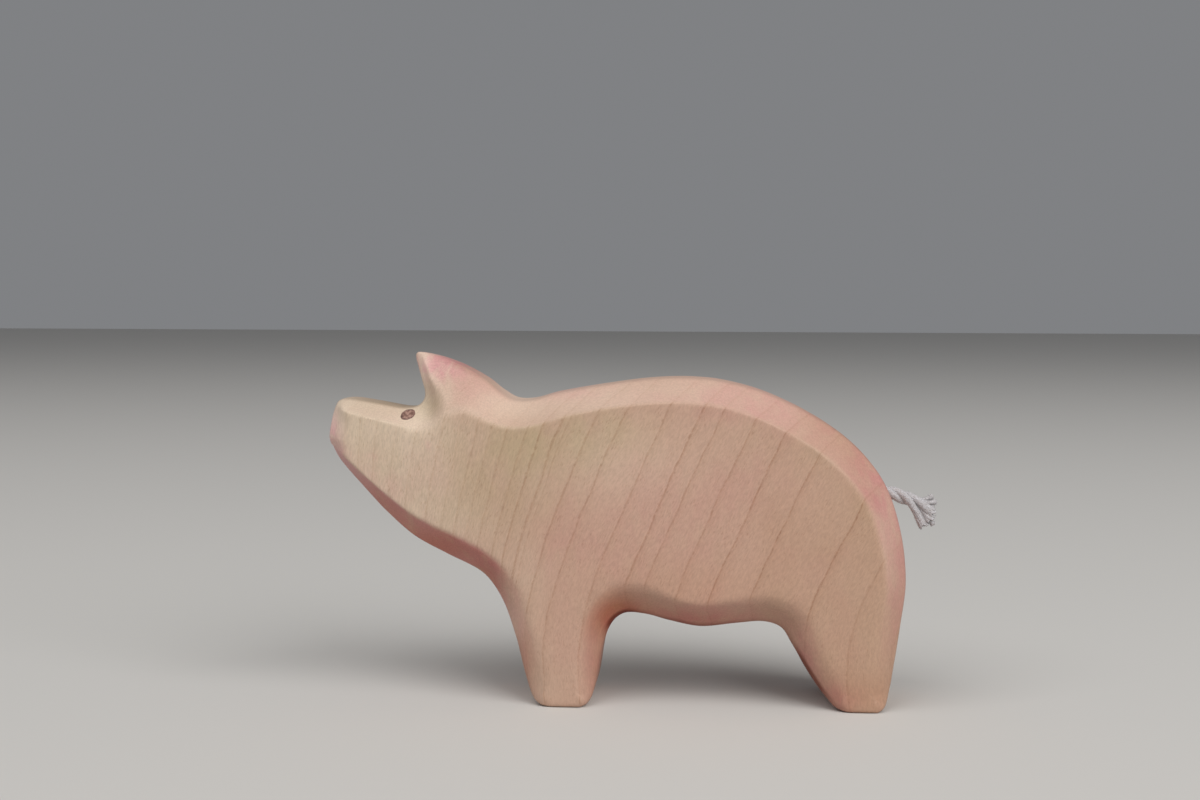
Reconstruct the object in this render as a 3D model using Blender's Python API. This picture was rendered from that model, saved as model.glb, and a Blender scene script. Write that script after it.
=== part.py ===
# A carved wooden toy pig with its head raised, a painted eye on each side and a short cotton cord tail.
# Metres, +Z up. The snout points towards -X, the pig's left side faces -Y, and the feet stand on Z = 0.
import math

import bmesh
import bpy
import numpy as np
from mathutils import Matrix, Vector
from mathutils.geometry import delaunay_2d_cdt, interpolate_bezier

MILLIMETRE = 0.001

# The block is sawn to the pig's outline and bevelled by hand along it, in stretches that share their
# end points and run clockwise from the snout's upper corner. Each point holds, in millimetres: x, z,
# half width of the flat rim left between the two bevels, how far the bevel reaches in from the
# outline, and how softly its inner edge is sanded over.
BROW = [
    (-60.9, 61.8, 4.0, 2.4, 1.2),
    (-58.6, 62.1, 4.2, 2.4, 0.5),
    (-53.4, 61.4, 4.5, 2.9, 0.35),
    (-48.4, 60.5, 4.6, 3.1, 0.3),
    (-46.0, 60.4, 4.6, 3.7, 0.3),
    (-44.5, 60.8, 4.2, 4.4, 0.3),
    (-43.4, 61.8, 3.8, 5.4, 0.4),
]
EAR_FRONT = [
    (-43.4, 61.8, 3.8, 5.6, 0.5),
    (-43.1, 63.4, 3.0, 5.8, 0.8),
    (-43.9, 66.0, 1.9, 6.0, 0.6),
    (-44.8, 68.9, 1.1, 8.8, 0.5),
    (-45.3, 70.6, 0.8, 14.0, 0.4),
    (-45.3, 71.4, 0.8, 18.0, 0.4),
]
BACK = [
    (-45.3, 71.4, 1.0, 13.0, 0.8),
    (-44.8, 71.8, 1.2, 13.0, 1.0),
    (-41.8, 71.4, 1.8, 13.0, 1.4),
    (-37.7, 70.15, 3.0, 12.0, 2.8),
    (-33.8, 68.4, 4.0, 9.6, 2.4),
    (-30.4, 66.4, 4.9, 7.4, 1.4),
    (-27.2, 63.8, 5.6, 6.0, 0.8),
    (-24.4, 62.2, 6.0, 5.3, 0.5),
    (-20.6, 62.2, 6.2, 5.0, 0.4),
    (-15.2, 63.7, 6.2, 4.8, 0.4),
    (-5.0, 65.5, 6.2, 4.5, 0.4),
    (7.0, 66.9, 6.2, 4.7, 0.4),
    (18.5, 66.3, 6.3, 4.8, 0.4),
    (30.0, 62.9, 6.4, 5.0, 0.4),
    (41.8, 56.4, 6.5, 5.4, 0.4),
    (49.9, 48.6, 6.5, 5.4, 1.0),
    (54.3, 39.0, 6.5, 4.8, 1.4),
    (56.1, 27.0, 6.5, 4.2, 1.8),
    (55.1, 17.5, 7.6, 3.9, 2.2),
    (53.5, 7.6, 8.8, 2.7, 2.8),
    (52.6, 3.4, 9.6, 2.4, 2.8),
    (52.1, 1.6, 10.4, 2.0, 2.2),
    (51.5, 0.6, 11.3, 1.4, 1.2),
    (50.3, 0.0, 12.2, 0.8, 0.4),
]
HIND_SOLE = [
    (50.3, 0.0, 12.3, 0.6, 0.4),
    (44.2, 0.0, 12.3, 0.6, 0.4),
]
BELLY = [
    (44.2, 0.0, 12.2, 0.8, 0.4),
    (42.9, 0.3, 11.7, 1.2, 0.8),
    (41.6, 0.9, 11.0, 1.8, 1.6),
    (40.5, 2.0, 10.3, 2.3, 2.4),
    (39.1, 3.6, 9.7, 2.7, 3.0),
    (36.1, 7.8, 9.0, 3.0, 3.4),
    (33.1, 13.0, 8.0, 3.8, 3.2),
    (31.0, 16.1, 7.0, 4.8, 2.8),
    (27.4, 17.2, 6.4, 5.5, 1.8),
    (22.0, 16.7, 6.2, 5.6, 1.1),
    (14.6, 15.9, 6.2, 5.6, 1.1),
    (8.0, 17.1, 6.2, 5.4, 1.1),
    (2.6, 18.4, 6.2, 6.2, 1.6),
    (-1.2, 18.5, 6.4, 6.2, 2.0),
    (-3.7, 16.6, 7.2, 4.8, 2.2),
    (-5.55, 12.0, 7.8, 3.8, 1.8),
    (-6.8, 5.2, 8.6, 3.2, 1.6),
    (-7.3, 2.8, 9.6, 2.5, 1.8),
    (-7.8, 1.5, 10.6, 2.0, 2.0),
    (-8.6, 0.5, 11.4, 1.3, 1.0),
    (-9.8, 0.0, 12.2, 0.8, 0.4),
]
FORE_SOLE = [
    (-9.8, 0.0, 12.3, 0.6, 0.4),
    (-16.4, 0.0, 12.3, 0.6, 0.4),
]
THROAT = [
    (-16.4, 0.0, 12.2, 0.8, 0.4),
    (-17.9, 0.3, 11.8, 1.1, 0.8),
    (-19.0, 0.9, 11.0, 1.7, 1.6),
    (-19.8, 1.9, 10.3, 2.2, 2.4),
    (-20.6, 3.7, 9.7, 2.6, 3.0),
    (-21.7, 7.2, 9.2, 2.7, 3.4),
    (-23.5, 14.0, 8.6, 2.8, 3.2),
    (-26.5, 21.4, 7.4, 3.6, 3.0),
    (-30.6, 26.4, 6.0, 4.3, 1.8),
    (-38.1, 30.1, 5.4, 5.0, 0.9),
    (-44.9, 33.6, 5.0, 4.8, 0.6),
    (-50.3, 38.1, 4.7, 3.9, 0.5),
    (-56.2, 44.3, 4.3, 2.8, 0.5),
    (-60.7, 49.3, 4.0, 2.2, 0.9),
    (-62.4, 52.2, 3.8, 2.2, 1.4),
]
MUZZLE = [
    (-62.4, 52.2, 4.6, 2.8, 2.4),
    (-62.9, 54.2, 5.4, 3.0, 2.6),
    (-62.3, 58.0, 5.4, 3.2, 2.4),
    (-61.7, 60.4, 4.8, 2.8, 1.8),
    (-60.9, 61.8, 4.0, 2.4, 1.2),
]
# The curved stretches run on smoothly into each other, from the toe of the fore foot over the head and
# back to the heel of the hind foot, and along the belly. The two soles are straight saw cuts.
TOP_CHAIN = [THROAT, MUZZLE, BROW, EAR_FRONT, BACK]

# Half thickness of the block along the pig, in millimetres: full at the body, slimmer at the snout.
PLAN_TAPER = [(-63.0, 8.6), (-45.0, 10.3), (-20.0, 12.4), (-5.0, 13.0), (30.0, 13.0), (56.0, 12.4)]
# The rim's own edges are rubbed round: by how much of the rim's half width, and how far in.
RIM_ROUNDING_SHARE = 0.12
RIM_ROUNDING_MOST = 0.6
RIM_ROUNDING_REACH = 0.4
# An inner edge is crisper where the wood is thin: the share of its softness that is always left, and
# the power at which softness falls with the thickness.
THIN_SOFTNESS = 0.25
THIN_POWER = 1.5
# A bevel always gains some height, also where the block is slimmer than the cut's rim.
LEAST_CLIMB = 0.4

# How closely the faces follow the carving, in millimetres.
SPLINE_STEPS = 16
OUTLINE_STEP = 3.6
OUTLINE_TURN = math.radians(14)
SOLE_STEP = 1.4
INNER_EDGE_SHARE = 0.4
INNER_EDGE_LEAST = 0.3
ROW_CLEARANCE = 0.4
SHARED_WOOD = 0.3
FINE_GRID = 1.3
FINE_ZONES = [(-46.0, -30.0, 53.0, 72.0), (-63.0, -46.0, 54.0, 62.0), (-63.0, -57.0, 48.0, 54.0)]
SIDE_GRID = 6.0
MESH_TOLERANCE = 1e-5
SHARP_ANGLE = math.radians(35)

# The painted eye, shown as a thin disc let into a shallow pocket in the brow's bevel.
EYE_X = -46.0
EYE_Z = 59.0
EYE_RADIUS = 1.55 * MILLIMETRE
EYE_THICKNESS = 0.5 * MILLIMETRE
EYE_SIDES = 24
EYE_NUDGE = 0.2
TOUCHING_GAP = 0.3 * MILLIMETRE

# The tail, three plies of soft cotton glued in a drilled hole and splayed where they are cut off. Its
# route, in millimetres, starts from the place where it leaves the wood. Each ply ends at its own place.
TAIL_EXIT = Vector((52.9, 0.0, 43.3)) * MILLIMETRE
TAIL_ROUTE = [
    (-8.5, 0.0, 2.1),
    (-4.5, 0.0, 1.1),
    (0.0, 0.0, 0.05),
    (2.6, 0.1, -0.65),
    (4.8, 0.0, -1.6),
    (6.3, 0.0, -2.9),
    (7.7, -0.1, -4.9),
]
PLY_ENDS = [(7.5, -0.2, -6.3), (8.7, 0.3, -5.0), (8.9, -0.3, -3.7)]
TAIL_TWIST = math.radians(780)
TAIL_PHASE = math.radians(6.5)
TAIL_RINGS = 36
SPLAY_START = 0.72
SPLAY_POWER = 1.3
PLY_SIDES = 8
PLY_RADII = [0.90 * MILLIMETRE, 0.84 * MILLIMETRE, 0.87 * MILLIMETRE]
PLY_OFFSET = 0.66 * MILLIMETRE
TUFTS_PER_PLY = 5
TUFT_LENGTH = 1.5 * MILLIMETRE
TUFT_RADIUS = 0.32 * MILLIMETRE
TUFT_SPREAD = 0.5
TUFT_SIDES = 6
TUFT_TIP_SHARE = 0.4
TUFT_TAPER_FROM = 0.6
TUFT_SEED = 6
HOLE_RADIUS = 1.9 * MILLIMETRE
HOLE_DEPTH = 9.4 * MILLIMETRE
HOLE_SIDES = 20

WOOD_COLOUR = (0.50, 0.31, 0.22)
EYE_COLOUR = (0.13, 0.07, 0.055)
COTTON_COLOUR = (0.42, 0.40, 0.37)


def clear_scene():
    for thing in list(bpy.data.objects):
        bpy.data.objects.remove(thing, do_unlink=True)


def finish(name, colour, roughness):
    material = bpy.data.materials.new(name)
    material.use_nodes = True
    shader = material.node_tree.nodes["Principled BSDF"]
    shader.inputs["Base Color"].default_value = (*colour, 1.0)
    shader.inputs["Roughness"].default_value = roughness
    shader.inputs["Metallic"].default_value = 0.0
    return material


def place_mesh(name, shape, material):
    shape.normal_update()
    mesh = bpy.data.meshes.new(name)
    shape.to_mesh(mesh)
    shape.free()
    mesh.materials.append(material)
    mesh.shade_smooth()
    mesh.set_sharp_from_angle(angle=SHARP_ANGLE)
    thing = bpy.data.objects.new(name, mesh)
    bpy.context.collection.objects.link(thing)
    return thing


def cut_away(target, cutter):
    cutter.hide_render = True
    cutter.display_type = "WIRE"
    cut = target.modifiers.new("cut " + cutter.name, "BOOLEAN")
    cut.operation = "DIFFERENCE"
    cut.object = cutter


# A smooth curve through knots, as a list of points for each span. A knot's handles follow the direction
# between its two neighbours, a third of the way along each span.
def smooth_spans(knots):
    before = [knots[0]] + knots[:-1]
    after = knots[1:] + [knots[-1]]
    directions = [(b - a).normalized() for a, b in zip(before, after)]
    spans = []
    for start, end, leaving, arriving in zip(knots[:-1], knots[1:], directions[:-1], directions[1:]):
        reach = (end - start).length / 3
        handle_out = start + leaving * reach
        handle_in = end - arriving * reach
        spans.append(interpolate_bezier(start, handle_out, handle_in, end, SPLINE_STEPS + 1))
    return spans


# A chain of cuts drawn as one smooth curve, with a fine polyline for each cut.
def trace_chain(chain):
    knots = [Vector(chain[0][0][:2])] + [Vector(point[:2]) for cut in chain for point in cut[1:]]
    spans = iter(smooth_spans(knots))
    lines = []
    for cut in chain:
        line = [cut[0]]
        for start, end in zip(cut[:-1], cut[1:]):
            span = next(spans)
            for step in range(1, SPLINE_STEPS + 1):
                share = step / SPLINE_STEPS
                bevel = [a + share * (b - a) for a, b in zip(start[2:], end[2:])]
                line.append((span[step].x, span[step].y, *bevel))
        lines.append(np.array(line))
    return lines


def straight_cut(cut):
    steps = math.ceil(math.dist(cut[0][:2], cut[1][:2]) / SOLE_STEP)
    return np.linspace(cut[0], cut[1], steps + 1)


# Every cut in its order round the outline, as fine polylines.
def trace_cuts():
    top = trace_chain(TOP_CHAIN)
    return top + [straight_cut(HIND_SOLE)] + trace_chain([BELLY]) + [straight_cut(FORE_SOLE)]


# The stretch of each cut that is kept for the mesh: a corner wherever the line has turned or run on enough.
def thin_line(line):
    kept = [0]
    turned = 0.0
    for index in range(1, len(line) - 1):
        back = line[index, :2] - line[index - 1, :2]
        ahead = line[index + 1, :2] - line[index, :2]
        turned += abs(math.atan2(back[0] * ahead[1] - back[1] * ahead[0], back @ ahead))
        run = np.linalg.norm(line[index, :2] - line[kept[-1], :2])
        if run > OUTLINE_STEP or turned > OUTLINE_TURN:
            kept.append(index)
            turned = 0.0
    kept.append(len(line) - 1)
    return line[kept]


# For each place: how far it lies in from the cut, and the rim, reach and softness at the nearest point.
def nearest_on_cut(line, places):
    starts = line[:-1, :2]
    runs = line[1:, :2] - starts
    offsets = places[:, None, :] - starts[None, :, :]
    shares = np.clip((offsets * runs).sum(axis=2) / (runs * runs).sum(axis=1), 0.0, 1.0)
    distances = np.linalg.norm(offsets - shares[:, :, None] * runs, axis=2)
    best = distances.argmin(axis=1)
    rows = np.arange(len(places))
    share = shares[rows, best][:, None]
    bevel = line[best, 2:] + share * (line[best + 1, 2:] - line[best, 2:])
    return distances[rows, best], bevel[:, 0], bevel[:, 1], bevel[:, 2]


def side_half(places):
    return np.interp(places[:, 0], [x for x, half in PLAN_TAPER], [half for x, half in PLAN_TAPER])


# The height of one cut's bevel over the middle plane, were it the only cut.
def bevel_half(line, places):
    distance, rim, reach, softness = nearest_on_cut(line, places)
    rounding = np.minimum(RIM_ROUNDING_SHARE * rim, RIM_ROUNDING_MOST)
    rounding *= np.maximum(1.0 - distance / RIM_ROUNDING_REACH, 0.0) ** 2
    climb = np.maximum(side_half(places) - rim, LEAST_CLIMB)
    return rim + climb * distance / reach - rounding, softness


# Half thickness of the carving at each place: the least of its flat side and its bevels, where
# two of them meet softened over the height that the cut gives.
def half_thickness(lines, places):
    side = side_half(places)
    half = side
    for line in lines:
        bevel, softness = bevel_half(line, places)
        thinness = np.clip(np.minimum(half, bevel) / side, THIN_SOFTNESS, 1.0)
        softness = softness * thinness ** THIN_POWER
        overlap = np.maximum(softness - abs(half - bevel), 0.0) / softness
        half = np.minimum(half, bevel) - overlap * overlap * softness / 4
    return half


# Places beside a cut, at both edges of its rounded rim and on either side of the bevel's inner edge,
# wherever no other cut has taken the wood there.
def rows_beside(lines, own):
    line = thin_line(lines[own])
    along = np.gradient(line[:, :2], axis=0)
    inward = np.column_stack([along[:, 1], -along[:, 0]]) / np.linalg.norm(along, axis=1)[:, None]
    half_edge = INNER_EDGE_SHARE * line[:, 4] + INNER_EDGE_LEAST
    depths = [0.4 * RIM_ROUNDING_REACH, RIM_ROUNDING_REACH, line[:, 3] - half_edge, line[:, 3] + half_edge]
    rows = []
    for depth in depths:
        places = line[:, :2] + inward * np.broadcast_to(depth, len(line))[:, None]
        own_half = bevel_half(lines[own], places)[0]
        others = [bevel_half(other, places)[0] for index, other in enumerate(lines) if index != own]
        rows.append(places[own_half < np.min(others, axis=0) + SHARED_WOOD])
    return np.concatenate(rows)


def grid_over(low_x, high_x, low_z, high_z, step):
    x, z = np.meshgrid(np.arange(low_x, high_x, step), np.arange(low_z, high_z, step))
    return np.column_stack([x.ravel(), z.ravel()])


def inside_outline(outline, places):
    x, z = places[:, :1], places[:, 1:]
    start, end = outline, np.roll(outline, -1, axis=0)
    straddles = (start[:, 1] > z) != (end[:, 1] > z)
    rise = np.where(end[:, 1] == start[:, 1], 1.0, end[:, 1] - start[:, 1])
    crossing = start[:, 0] + (z - start[:, 1]) * (end[:, 0] - start[:, 0]) / rise
    return (straddles & (x < crossing)).sum(axis=1) % 2 == 1


# The candidates that lie inside the outline, no closer than a clearance to it or to a place already kept.
def add_apart(kept, candidates, outline, clearance):
    inside = candidates[inside_outline(outline[:, :2], candidates)]
    inside = inside[nearest_on_cut(outline, inside)[0] > 0.5 * clearance]
    for place in inside:
        if np.linalg.norm(kept - place, axis=1).min() > clearance:
            kept = np.vstack([kept, place])
    return kept


# The wooden body: one sheet of triangles over the outline, raised to the carving's half thickness on
# each side and joined round the rim.
def make_body(lines, material):
    outline = np.concatenate([thin_line(line)[:-1] for line in lines])
    closed = np.vstack([outline, outline[:1]])
    count = len(outline)
    flat = outline[:, :2]
    for own in range(len(lines)):
        flat = add_apart(flat, rows_beside(lines, own), closed, ROW_CLEARANCE)
    whole = (outline[:, 0].min(), outline[:, 0].max(), 0.0, outline[:, 1].max())
    for zone, step in [(zone, FINE_GRID) for zone in FINE_ZONES] + [(whole, SIDE_GRID)]:
        flat = add_apart(flat, grid_over(*zone, step), closed, 0.6 * step)
    rim_edges = [(index, (index + 1) % count) for index in range(count)]
    corners = [Vector(place) for place in flat]
    places, edges, triangles = delaunay_2d_cdt(corners, rim_edges, [], 0, MESH_TOLERANCE)[:3]
    places = np.array(places)
    centres = np.array([places[list(triangle)].mean(axis=0) for triangle in triangles])
    within = inside_outline(outline[:, :2], centres)
    kept = [triangle for triangle, inside in zip(triangles, within) if inside]
    halves = half_thickness(lines, places)

    shape = bmesh.new()
    left = [shape.verts.new(Vector((x, -half, z)) * MILLIMETRE) for (x, z), half in zip(places, halves)]
    right = [shape.verts.new(Vector((x, half, z)) * MILLIMETRE) for (x, z), half in zip(places, halves)]
    for a, b, c in kept:
        shape.faces.new((left[a], left[b], left[c]))
        shape.faces.new((right[c], right[b], right[a]))
    for a, b in rim_edges:
        shape.faces.new((left[a], left[b], right[b], right[a]))
    return place_mesh("body", shape, material)


def turned_to(axis, centre):
    return Matrix.Translation(centre) @ axis.to_track_quat("Z", "Y").to_matrix().to_4x4()


def make_rod(name, axis, bottom, length, radius, sides, material):
    shape = bmesh.new()
    centre = bottom + axis * length / 2
    bmesh.ops.create_cone(shape, cap_ends=True, segments=sides, radius1=radius, radius2=radius,
                          depth=length, matrix=turned_to(axis, centre))
    return place_mesh(name, shape, material)


# An eye lies flat on the brow's bevel, its face flush with the wood.
def make_eye(name, hand, body, lines, wood, paint):
    around = np.array([(EYE_X, EYE_Z), (EYE_X + EYE_NUDGE, EYE_Z), (EYE_X, EYE_Z + EYE_NUDGE)])
    half, half_ahead, half_above = half_thickness(lines, around)
    outward = Vector(((half - half_ahead) / EYE_NUDGE, hand, (half - half_above) / EYE_NUDGE)).normalized()
    surface = Vector((EYE_X, hand * half, EYE_Z)) * MILLIMETRE
    floor = surface - outward * (EYE_THICKNESS + TOUCHING_GAP)
    pocket = make_rod(name + "_pocket", outward, floor, 3 * EYE_THICKNESS, EYE_RADIUS + TOUCHING_GAP,
                      EYE_SIDES, wood)
    cut_away(body, pocket)
    return make_rod(name, outward, surface - outward * EYE_THICKNESS, EYE_THICKNESS, EYE_RADIUS,
                    EYE_SIDES, paint)


# The tail's centre line, a smooth curve through its route, as evenly spaced rings.
def tail_line():
    knots = [TAIL_EXIT + Vector(point) * MILLIMETRE for point in TAIL_ROUTE]
    fine = [knots[0]]
    for span in smooth_spans(knots):
        fine += span[1:]
    runs = np.cumsum([0.0] + [(b - a).length for a, b in zip(fine[:-1], fine[1:])])
    even = np.linspace(0.0, runs[-1], TAIL_RINGS)
    by_axis = [np.interp(even, runs, [point[axis] for point in fine]) for axis in range(3)]
    return [Vector(place) for place in zip(*by_axis)]


def ring(shape, centre, along, radius, sides):
    turn = turned_to(along, centre)
    angles = [2 * math.pi * side / sides for side in range(sides)]
    return [shape.verts.new(turn @ Vector((radius * math.cos(a), radius * math.sin(a), 0.0))) for a in angles]


# A closed tube through centres, with a radius at each of them.
def make_tube(name, centres, radii, sides, material):
    shape = bmesh.new()
    before = [centres[0]] + centres[:-1]
    after = centres[1:] + [centres[-1]]
    rings = [ring(shape, centre, (b - a).normalized(), radius, sides)
             for centre, a, b, radius in zip(centres, before, after, radii)]
    for lower, upper in zip(rings[:-1], rings[1:]):
        for side in range(sides):
            following = (side + 1) % sides
            shape.faces.new((lower[side], lower[following], upper[following], upper[side]))
    shape.faces.new(rings[0][::-1])
    shape.faces.new(rings[-1])
    bmesh.ops.triangulate(shape, faces=shape.faces)
    return place_mesh(name, shape, material)


def join_pieces(name, pieces, material):
    others = bpy.data.collections.new(name + " pieces")
    bpy.context.scene.collection.children.link(others)
    for piece in pieces[1:]:
        bpy.context.collection.objects.unlink(piece)
        others.objects.link(piece)
    union = pieces[0].modifiers.new("union", "BOOLEAN")
    union.operation = "UNION"
    union.operand_type = "COLLECTION"
    union.collection = others
    evaluated = pieces[0].evaluated_get(bpy.context.evaluated_depsgraph_get())
    mesh = bpy.data.meshes.new_from_object(evaluated)
    mesh.name = name
    mesh.materials.clear()
    mesh.materials.append(material)
    for piece in pieces:
        bpy.data.objects.remove(piece, do_unlink=True)
    bpy.data.collections.remove(others)
    thing = bpy.data.objects.new(name, mesh)
    bpy.context.collection.objects.link(thing)
    return thing


# Three plies laid round each other, opening into a fan past the splay, each ending in loose tufts.
def make_tail(body, wood, cotton):
    line = tail_line()
    leaving = (line[0] - TAIL_EXIT).normalized()
    hole = make_rod("tail_hole", -leaving, TAIL_EXIT + leaving * HOLE_DEPTH, 1.5 * HOLE_DEPTH, HOLE_RADIUS,
                    HOLE_SIDES, wood)
    cut_away(body, hole)
    chance = np.random.default_rng(TUFT_SEED)
    across = Vector((0.0, 1.0, 0.0))
    last = TAIL_RINGS - 1
    pieces = []
    for ply, (ending, radius) in enumerate(zip(PLY_ENDS, PLY_RADII)):
        end = TAIL_EXIT + Vector(ending) * MILLIMETRE
        centres = []
        for index, centre in enumerate(line):
            share = index / last
            along = (line[min(index + 1, last)] - line[max(index - 1, 0)]).normalized()
            angle = 2 * math.pi * ply / len(PLY_ENDS) + TAIL_PHASE + TAIL_TWIST * share
            lift = along.cross(across)
            laid = centre + (across * math.cos(angle) + lift * math.sin(angle)) * PLY_OFFSET
            opened = (max(share - SPLAY_START, 0.0) / (1.0 - SPLAY_START)) ** SPLAY_POWER
            centres.append(laid + (end - line[last]) * opened)
        pieces.append(make_tube("ply", centres, [radius] * TAIL_RINGS, PLY_SIDES, cotton))
        outward = (centres[-1] - centres[-3]).normalized()
        for tuft in range(TUFTS_PER_PLY):
            lean = Vector(chance.uniform(-TUFT_SPREAD, TUFT_SPREAD, 3))
            root = centres[-1] + lean * radius - outward * 2 * TUFT_RADIUS
            tip = root + (outward + lean).normalized() * TUFT_LENGTH
            centres_out = [root, root.lerp(tip, TUFT_TAPER_FROM), tip]
            radii = [TUFT_RADIUS, TUFT_RADIUS, TUFT_TIP_SHARE * TUFT_RADIUS]
            pieces.append(make_tube("tuft", centres_out, radii, TUFT_SIDES, cotton))
    return join_pieces("tail", pieces, cotton)


def main():
    clear_scene()
    wood = finish("wood", WOOD_COLOUR, 0.55)
    paint = finish("eye_paint", EYE_COLOUR, 0.5)
    cotton = finish("cotton", COTTON_COLOUR, 0.9)
    lines = trace_cuts()
    body = make_body(lines, wood)
    make_eye("eye_left", -1.0, body, lines, wood, paint)
    make_eye("eye_right", 1.0, body, lines, wood, paint)
    make_tail(body, wood, cotton)


main()
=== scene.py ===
import math
from functools import partial

import bpy
import numpy as np
from mathutils import Matrix, Vector, noise
from mathutils.geometry import delaunay_2d_cdt, interpolate_bezier


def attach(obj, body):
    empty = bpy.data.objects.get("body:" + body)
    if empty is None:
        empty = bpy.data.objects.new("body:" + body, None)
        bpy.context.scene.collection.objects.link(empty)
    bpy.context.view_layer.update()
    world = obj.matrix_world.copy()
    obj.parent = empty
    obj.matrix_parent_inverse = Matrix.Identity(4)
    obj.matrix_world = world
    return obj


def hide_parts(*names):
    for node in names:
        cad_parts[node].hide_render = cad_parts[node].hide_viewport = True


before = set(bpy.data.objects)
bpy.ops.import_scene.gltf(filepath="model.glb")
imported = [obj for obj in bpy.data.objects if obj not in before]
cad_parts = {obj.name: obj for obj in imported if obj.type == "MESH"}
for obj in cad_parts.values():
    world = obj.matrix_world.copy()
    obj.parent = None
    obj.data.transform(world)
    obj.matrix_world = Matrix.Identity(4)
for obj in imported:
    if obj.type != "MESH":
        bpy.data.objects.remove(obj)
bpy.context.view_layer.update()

mm = 0.001


def putObject(name, data):
    made = bpy.data.objects.new(name, data)
    bpy.context.collection.objects.link(made)
    return made


# camera

cameraView = {
    "place": (0.0162, -0.3462, 0.08076),
    "turn": 3.8,  # degrees to the left, seen from above
    "tilt": 3.09,  # degrees downwards
    "roll": 0.234,
    "lens": 50.0,
    "sensor": 36.0,
}


def placeCamera():
    turn, tilt, roll = (math.radians(cameraView[key]) for key in ("turn", "tilt", "roll"))
    forward = Vector((-math.sin(turn) * math.cos(tilt), math.cos(turn) * math.cos(tilt), -math.sin(tilt)))
    level = Vector((math.cos(turn), math.sin(turn), 0.0))
    upward = level.cross(forward)
    right = level * math.cos(roll) + upward * math.sin(roll)
    up = upward * math.cos(roll) - level * math.sin(roll)
    lens = bpy.data.cameras.new("toyCamera")
    lens.lens = cameraView["lens"]
    lens.sensor_width = cameraView["sensor"]
    lens.clip_start = 0.01
    camera = putObject("toyCamera", lens)
    turned = Matrix((right, up, -forward)).transposed().to_4x4()
    camera.matrix_world = Matrix.Translation(cameraView["place"]) @ turned
    bpy.context.scene.camera = camera


placeCamera()
print("camera placed")


# small helpers for node trees

def linearColour(red, green, blue):
    values = [value / 255 for value in (red, green, blue)]
    return tuple(v / 12.92 if v <= 0.04045 else ((v + 0.055) / 1.055) ** 2.4 for v in values)


# an input is a plain value or another node's output
def setInputs(tree, node, inputs):
    for key, value in inputs.items():
        if isinstance(value, bpy.types.NodeSocket):
            tree.links.new(value, node.inputs[key])
        else:
            node.inputs[key].default_value = value


def putNode(tree, kind, inputs=None, **settings):
    node = tree.nodes.new(kind)
    for name, value in settings.items():
        setattr(node, name, value)
    setInputs(tree, node, inputs or {})
    return node


def calc(tree, operation, *values):
    return putNode(tree, "ShaderNodeMath", dict(enumerate(values)), operation=operation).outputs[0]


def ramp(tree, value, low, high, start=0.0, end=1.0):
    inputs = {"Value": value, "From Min": low, "From Max": high, "To Min": start, "To Max": end}
    return putNode(tree, "ShaderNodeMapRange", inputs, interpolation_type="SMOOTHSTEP").outputs[0]


# the same without the easing
def evenRamp(tree, value, low, high):
    inputs = {"Value": value, "From Min": low, "From Max": high}
    return putNode(tree, "ShaderNodeMapRange", inputs).outputs[0]


def stretch(tree, vector, scale):
    return putNode(tree, "ShaderNodeVectorMath", {0: vector, 1: scale}, operation="MULTIPLY").outputs[0]


def cloud(tree, place, scale, detail=2.0, roughness=0.5):
    inputs = {"Vector": stretch(tree, place, scale), "Scale": 1.0, "Detail": detail, "Roughness": roughness}
    return putNode(tree, "ShaderNodeTexNoise", inputs).outputs["Fac"]


# a colour is three plain values or another node's output
def blend(tree, factor, first, second, way="MIX"):
    first, second = ((*colour, 1.0) if isinstance(colour, tuple) else colour for colour in (first, second))
    inputs = {0: factor, 6: first, 7: second}
    return putNode(tree, "ShaderNodeMix", inputs, data_type="RGBA", blend_type=way).outputs[2]


def bump(tree, strength, reach, height):
    inputs = {"Strength": strength, "Distance": reach * mm, "Height": height}
    return putNode(tree, "ShaderNodeBump", inputs).outputs[0]


def newGroup(name, inputs, outputs, kind="ShaderNodeTree"):
    group = bpy.data.node_groups.new(name, kind)
    for way, sockets in (("INPUT", inputs), ("OUTPUT", outputs)):
        for label, value in sockets:
            group.interface.new_socket(name=label, in_out=way, socket_type="NodeSocket" + value)
    return group, group.nodes.new("NodeGroupInput").outputs, group.nodes.new("NodeGroupOutput").inputs


def useGroup(tree, group, inputs):
    return putNode(tree, "ShaderNodeGroup", inputs, node_tree=group).outputs


def newMaterial(name):
    material = bpy.data.materials.new(name)
    material.use_nodes = True
    return material, material.node_tree


def finishMaterial(material, inputs):
    tree = material.node_tree
    setInputs(tree, tree.nodes["Principled BSDF"], inputs)
    return material


def surfaceValue(tree, name):
    return putNode(tree, "ShaderNodeAttribute", attribute_name=name).outputs["Fac"]


# the object's own coordinates in millimetres
def placeInWood(tree):
    return stretch(tree, putNode(tree, "ShaderNodeTexCoord").outputs["Object"], (1000.0, 1000.0, 1000.0))


# maple figure, shared by the bare wood and by the wood that shows through the eye's paint

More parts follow.
